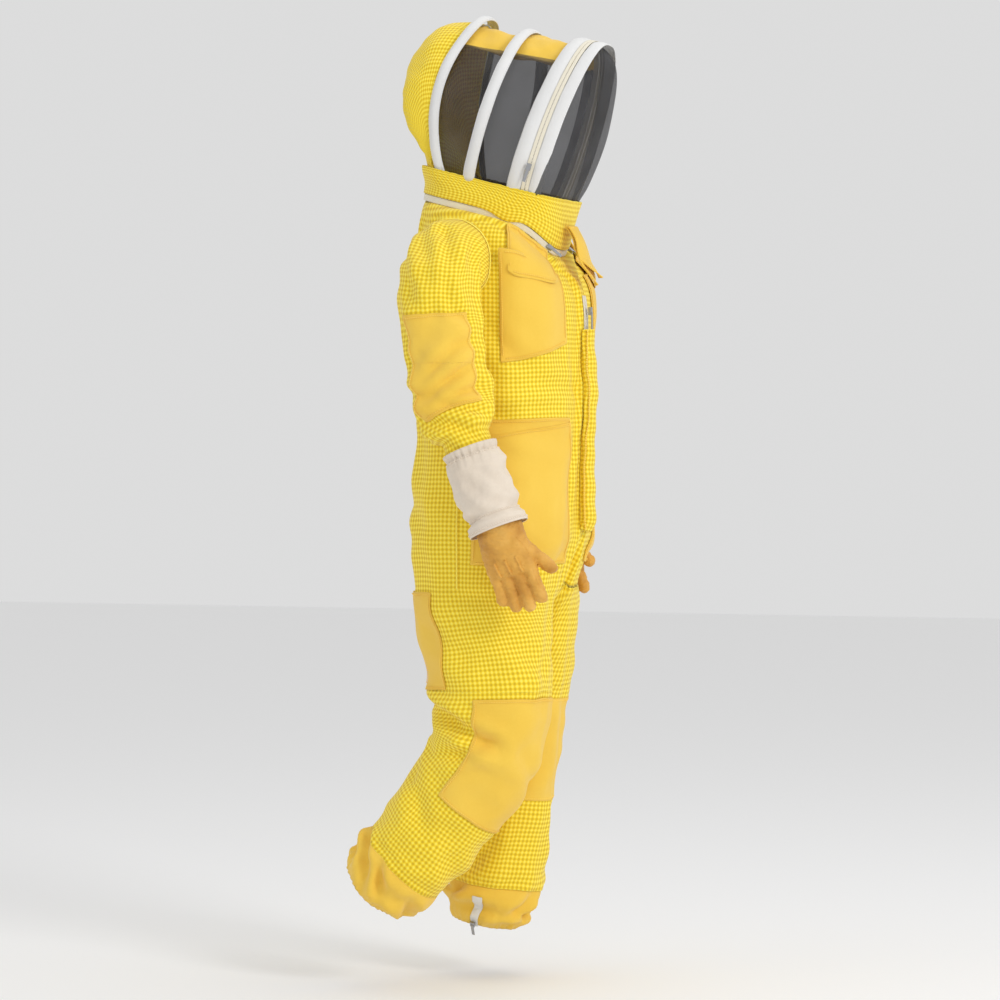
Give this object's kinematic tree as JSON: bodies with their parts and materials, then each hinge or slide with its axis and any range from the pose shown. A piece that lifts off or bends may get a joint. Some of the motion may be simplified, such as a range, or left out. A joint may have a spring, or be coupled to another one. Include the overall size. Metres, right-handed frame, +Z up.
{
  "type": "beekeeping suit",
  "caption": "Ventilated yellow coverall with a zip-on hooded veil, reinforced pockets, elbows and knees, elastic cuffs and canvas-and-leather gauntlet gloves.",
  "frame": {"origin": "the point between the shoulders, level with the neck ring, where the wearer's shoulders carry the suit", "axes": "+Z up, -Y towards the front of the suit, -X towards the wearer's right"},
  "size_m": [0.661, 0.4807, 1.7106],
  "materials": {
    "mesh_fabric": "three-layer ventilated mesh, lemon yellow",
    "plain_cotton": "plain woven cotton, warm yellow",
    "white_tape": "white cotton tape",
    "zip_tape": "cream zip tape with moulded teeth",
    "veil_net": "black fibreglass netting",
    "hoop_wire": "spring steel hoop",
    "zip_metal": "metal zip slider and pull",
    "canvas": "off-white cotton canvas",
    "leather": "golden tan leather"
  },
  "bodies": {
    "coverall": {"front_body_right": "mesh_fabric", "front_body_left": "mesh_fabric", "back_body": "mesh_fabric", "seat": "mesh_fabric", "neck_zip": "zip_tape", "main_zip": "zip_tape", "chest_pocket_right": "plain_cotton", "chest_pocket_left": "plain_cotton", "hip_pocket_right": "plain_cotton", "hip_pocket_left": "plain_cotton", "sleeve_head_right": "mesh_fabric", "sleeve_head_left": "mesh_fabric"},
    "main_slider": {"main_zip_slider": "zip_metal"},
    "neck_slider_right": {"neck_zip_slider_right": "zip_metal"},
    "pocket_flap_right": {"chest_pocket_flap_right": "plain_cotton"},
    "upper_arm_right": {"upper_sleeve_right": "mesh_fabric", "elbow_section_right": "mesh_fabric", "elbow_patch_right": "plain_cotton"},
    "forearm_right": {"forearm_sleeve_right": "mesh_fabric"},
    "glove_right": {"gauntlet_right": "canvas", "glove_hand_right": "leather"},
    "thigh_right": {"thigh_right": "mesh_fabric", "rear_thigh_patch_right": "plain_cotton", "knee_section_right": "mesh_fabric", "knee_patch_right": "plain_cotton"},
    "shin_right": {"shin_right": "mesh_fabric", "leg_cuff_right": "plain_cotton", "ankle_zip_right": "white_tape"},
    "ankle_slider_right": {"ankle_zip_slider_right": "zip_metal"},
    "neck_slider_left": {"neck_zip_slider_left": "zip_metal"},
    "pocket_flap_left": {"chest_pocket_flap_left": "plain_cotton"},
    "upper_arm_left": {"upper_sleeve_left": "mesh_fabric", "elbow_section_left": "mesh_fabric", "elbow_patch_left": "plain_cotton"},
    "forearm_left": {"forearm_sleeve_left": "mesh_fabric"},
    "glove_left": {"gauntlet_left": "canvas", "glove_hand_left": "leather"},
    "thigh_left": {"thigh_left": "mesh_fabric", "rear_thigh_patch_left": "plain_cotton", "knee_section_left": "mesh_fabric", "knee_patch_left": "plain_cotton"},
    "shin_left": {"shin_left": "mesh_fabric", "leg_cuff_left": "plain_cotton", "ankle_zip_left": "white_tape"},
    "ankle_slider_left": {"ankle_zip_slider_left": "zip_metal"},
    "hood": {"hood_skirt": "mesh_fabric", "hood_crown": "mesh_fabric", "top_panel": "plain_cotton", "side_veil_right": "veil_net", "side_veil_left": "veil_net", "rear_band": "white_tape", "middle_band": "white_tape", "front_band": "white_tape", "rear_hoop": "hoop_wire", "middle_hoop": "hoop_wire", "front_hoop": "hoop_wire"},
    "veil_door": {"veil_band": "white_tape", "face_veil": "veil_net"},
    "face_slider": {"face_zip_slider": "zip_metal"},
    "throat_tab": {"throat_flap": "plain_cotton"}
  },
  "joints": [
    {"name": "main_zip_slide", "type": "slide", "parent": "coverall", "child": "main_slider", "axis": [0, 0, -1], "range_m": [0, 0.38]},
    {"name": "neck_zip_run_right", "type": "hinge", "parent": "coverall", "child": "neck_slider_right", "pos_m": [0, -0.01591, 0.00615], "axis": [0, 0.754, -0.6568], "range_deg": [0, 32]},
    {"name": "pocket_flap_lift_right", "type": "hinge", "parent": "coverall", "child": "pocket_flap_right", "pos_m": [-0.1437, -0.108, -0.076], "axis": [-0.9935, 0.1093, 0.0326], "range_deg": [0, 90]},
    {"name": "shoulder_right", "type": "hinge", "parent": "coverall", "child": "upper_arm_right", "pos_m": [-0.225, 0.04, -0.112], "axis": [-1, 0, 0], "range_deg": [-25, 35], "deforming": ["sleeve_head_right"]},
    {"name": "elbow_right", "type": "hinge", "parent": "upper_arm_right", "child": "forearm_right", "pos_m": [-0.264, 0.01, -0.363], "axis": [-1, 0, 0], "range_deg": [-18, 50], "deforming": ["elbow_section_right", "elbow_patch_right"]},
    {"name": "glove_pull_right", "type": "slide", "parent": "forearm_right", "child": "glove_right", "axis": [0, -0.365, -0.931], "range_m": [0, 0.25]},
    {"name": "hip_right", "type": "hinge", "parent": "coverall", "child": "thigh_right", "pos_m": [-0.105, 0, -0.62], "axis": [-1, 0, 0], "range_deg": [-15, 25], "deforming": ["seat", "hip_pocket_right"]},
    {"name": "knee_right", "type": "hinge", "parent": "thigh_right", "child": "shin_right", "pos_m": [-0.109, -0.003, -1], "axis": [1, 0, 0], "range_deg": [-35, 25], "deforming": ["knee_section_right", "knee_patch_right"]},
    {"name": "ankle_zip_slide_right", "type": "slide", "parent": "shin_right", "child": "ankle_slider_right", "axis": [0.6291, -0.5692, 0.5293], "range_m": [0, 0.03]},
    {"name": "neck_zip_run_left", "type": "hinge", "parent": "coverall", "child": "neck_slider_left", "pos_m": [0, -0.01591, 0.00615], "axis": [0, -0.754, 0.6568], "range_deg": [0, 32]},
    {"name": "pocket_flap_lift_left", "type": "hinge", "parent": "coverall", "child": "pocket_flap_left", "pos_m": [0.1437, -0.108, -0.076], "axis": [-0.9935, -0.1093, 0.0326], "range_deg": [0, 90]},
    {"name": "shoulder_left", "type": "hinge", "parent": "coverall", "child": "upper_arm_left", "pos_m": [0.225, 0.04, -0.112], "axis": [-1, 0, 0], "range_deg": [-25, 35], "deforming": ["sleeve_head_left"]},
    {"name": "elbow_left", "type": "hinge", "parent": "upper_arm_left", "child": "forearm_left", "pos_m": [0.264, 0.044, -0.363], "axis": [-1, 0, 0], "range_deg": [-6, 60], "deforming": ["elbow_section_left", "elbow_patch_left"]},
    {"name": "glove_pull_left", "type": "slide", "parent": "forearm_left", "child": "glove_left", "axis": [0, -0.1372, -0.9905], "range_m": [0, 0.25]},
    {"name": "hip_left", "type": "hinge", "parent": "coverall", "child": "thigh_left", "pos_m": [0.105, 0, -0.62], "axis": [-1, 0, 0], "range_deg": [-15, 25], "deforming": ["seat", "hip_pocket_left"]},
    {"name": "knee_left", "type": "hinge", "parent": "thigh_left", "child": "shin_left", "pos_m": [0.109, 0.036, -1], "axis": [1, 0, 0], "range_deg": [-5, 55], "deforming": ["knee_section_left", "knee_patch_left"]},
    {"name": "ankle_zip_slide_left", "type": "slide", "parent": "shin_left", "child": "ankle_slider_left", "axis": [-0.6894, -0.1469, 0.7094], "range_m": [0, 0.03]},
    {"name": "hood_tip_back", "type": "hinge", "parent": "coverall", "child": "hood", "pos_m": [0, 0.14813, 0.03589], "axis": [-1, 0, 0], "range_deg": [0, 80]},
    {"name": "veil_open", "type": "hinge", "parent": "hood", "child": "veil_door", "pos_m": [0, -0.12764, -0.01583], "axis": [1, 0, 0], "range_deg": [0, 80]},
    {"name": "face_zip_slide", "type": "slide", "parent": "hood", "child": "face_slider", "axis": [-0.0602, -0.3406, 0.9383], "range_m": [0, 0.07]},
    {"name": "throat_flap_lift", "type": "hinge", "parent": "hood", "child": "throat_tab", "pos_m": [0, -0.1345, -0.044], "axis": [-1, 0, 0], "range_deg": [0, 50]}
  ]
}
